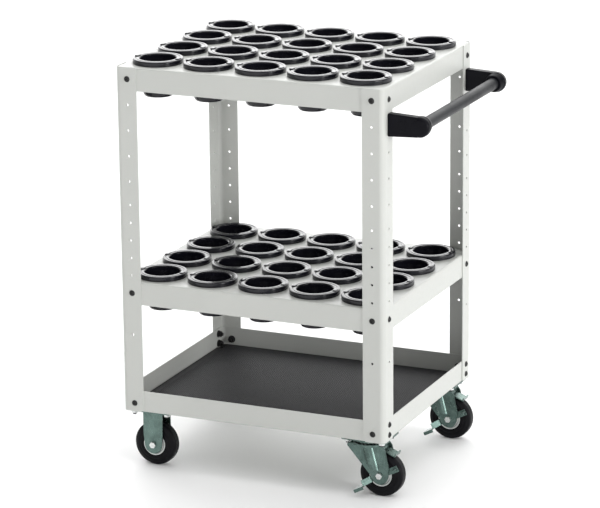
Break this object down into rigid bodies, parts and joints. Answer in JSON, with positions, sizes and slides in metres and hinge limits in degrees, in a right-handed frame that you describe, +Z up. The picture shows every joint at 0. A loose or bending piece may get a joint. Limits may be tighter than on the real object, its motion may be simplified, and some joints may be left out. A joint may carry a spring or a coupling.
{
  "type": "tool holder trolley",
  "caption": "Wheeled steel trolley with punched trays of round plastic sleeves for taper-shank tool holders, a matted bottom tray, a push handle and casters with brakes.",
  "frame": {"origin": "on the floor, under the middle of the whole trolley's bounding box", "axes": "+Z up, +X towards the push handle and the swivel casters, -Y the long face that the rows of five sleeves run along"},
  "size_m": [0.7224, 0.525, 0.928],
  "materials": {
    "powder_coat": "light warm grey textured powder coat",
    "mat_rubber": "fine ribbed black rubber mat",
    "sleeve_plastic": "glossy moulded black plastic",
    "handle_plastic": "satin moulded black plastic",
    "bar_coating": "satin dark grey coated tube",
    "tyre_rubber": "solid black rubber",
    "hub_steel": "turned bright zinc-plated steel",
    "ball_steel": "polished bearing balls",
    "bright_zinc": "bright zinc plating",
    "black_screw": "black oxide",
    "caster_zinc": "blue-green passivated zinc plate"
  },
  "bodies": {
    "trolley": {"front_left_post": "powder_coat", "front_right_post": "powder_coat", "rear_left_post": "powder_coat", "rear_right_post": "powder_coat", "upper_tool_tray": "powder_coat", "lower_tool_tray": "powder_coat", "bottom_tray": "powder_coat", "bottom_mat": "mat_rubber", "upper_sleeves_row_1": "sleeve_plastic", "upper_sleeves_row_2": "sleeve_plastic", "upper_sleeves_row_3": "sleeve_plastic", "upper_sleeves_row_4": "sleeve_plastic", "lower_sleeves_row_1": "sleeve_plastic", "lower_sleeves_row_2": "sleeve_plastic", "lower_sleeves_row_3": "sleeve_plastic", "lower_sleeves_row_4": "sleeve_plastic", "upper_tray_screws": "black_screw", "upper_tray_nuts": "black_screw", "lower_tray_screws": "black_screw", "lower_tray_nuts": "black_screw", "bottom_tray_screws": "black_screw", "bottom_tray_nuts": "black_screw", "front_handle_bracket": "handle_plastic", "rear_handle_bracket": "handle_plastic", "handle_bar": "bar_coating", "handle_caps": "handle_plastic", "handle_screws": "black_screw", "handle_bar_screws": "black_screw", "caster_screws": "black_screw", "caster_nuts": "bright_zinc", "front_rigid_fork": "caster_zinc", "rear_rigid_fork": "caster_zinc", "rigid_axle_bolts": "bright_zinc", "rigid_axle_nuts": "bright_zinc", "rigid_axle_bushes": "bright_zinc", "swivel_plates": "caster_zinc", "swivel_kingpins": "bright_zinc", "swivel_balls": "ball_steel"},
    "front_swivel": {"front_swivel_fork": "caster_zinc", "front_axle_bolt": "bright_zinc", "front_axle_nut": "bright_zinc", "front_axle_bush": "bright_zinc"},
    "front_brake_lever": {"front_brake_lever": "caster_zinc"},
    "front_brake_shoe": {"front_brake_shoe": "caster_zinc"},
    "rear_swivel": {"rear_swivel_fork": "caster_zinc", "rear_axle_bolt": "bright_zinc", "rear_axle_nut": "bright_zinc", "rear_axle_bush": "bright_zinc"},
    "rear_brake_lever": {"rear_brake_lever": "caster_zinc"},
    "rear_brake_shoe": {"rear_brake_shoe": "caster_zinc"},
    "front_rigid_wheel": {"front_rigid_hub": "hub_steel", "front_rigid_tyre": "tyre_rubber"},
    "rear_rigid_wheel": {"rear_rigid_hub": "hub_steel", "rear_rigid_tyre": "tyre_rubber"},
    "front_swivel_wheel": {"front_swivel_hub": "hub_steel", "front_swivel_tyre": "tyre_rubber"},
    "rear_swivel_wheel": {"rear_swivel_hub": "hub_steel", "rear_swivel_tyre": "tyre_rubber"}
  },
  "joints": [
    {"name": "front_swivel", "type": "hinge", "parent": "trolley", "child": "front_swivel", "pos_m": [0.21295, -0.206, 0.123], "axis": [0, 0, 1], "continuous": true},
    {"name": "front_swivel_wheel_spin", "type": "hinge", "parent": "front_swivel", "child": "front_swivel_wheel", "pos_m": [0.24395, -0.206, 0.05], "axis": [0, 1, 0], "continuous": true},
    {"name": "front_brake", "type": "hinge", "parent": "front_swivel", "child": "front_brake_lever", "pos_m": [0.24395, -0.206, 0.05], "axis": [0, -1, 0], "range_deg": [0, 12]},
    {"name": "front_shoe", "type": "hinge", "parent": "front_swivel", "child": "front_brake_shoe", "pos_m": [0.24595, -0.206, 0.108], "axis": [0, 1, 0], "range_deg": [0, 6]},
    {"name": "front_rigid_wheel_spin", "type": "hinge", "parent": "trolley", "child": "front_rigid_wheel", "pos_m": [-0.30105, -0.206, 0.05], "axis": [0, 1, 0], "continuous": true},
    {"name": "rear_swivel", "type": "hinge", "parent": "trolley", "child": "rear_swivel", "pos_m": [0.21295, 0.206, 0.123], "axis": [0, 0, 1], "continuous": true},
    {"name": "rear_swivel_wheel_spin", "type": "hinge", "parent": "rear_swivel", "child": "rear_swivel_wheel", "pos_m": [0.24395, 0.206, 0.05], "axis": [0, 1, 0], "continuous": true},
    {"name": "rear_brake", "type": "hinge", "parent": "rear_swivel", "child": "rear_brake_lever", "pos_m": [0.24395, 0.206, 0.05], "axis": [0, -1, 0], "range_deg": [0, 12]},
    {"name": "rear_shoe", "type": "hinge", "parent": "rear_swivel", "child": "rear_brake_shoe", "pos_m": [0.24595, 0.206, 0.108], "axis": [0, 1, 0], "range_deg": [0, 6]},
    {"name": "rear_rigid_wheel_spin", "type": "hinge", "parent": "trolley", "child": "rear_rigid_wheel", "pos_m": [-0.30105, 0.206, 0.05], "axis": [0, 1, 0], "continuous": true}
  ],
  "couplings": [
    {"joint": "front_shoe", "follows": "front_brake", "ratio": 0.5},
    {"joint": "rear_shoe", "follows": "rear_brake", "ratio": 0.5}
  ]
}
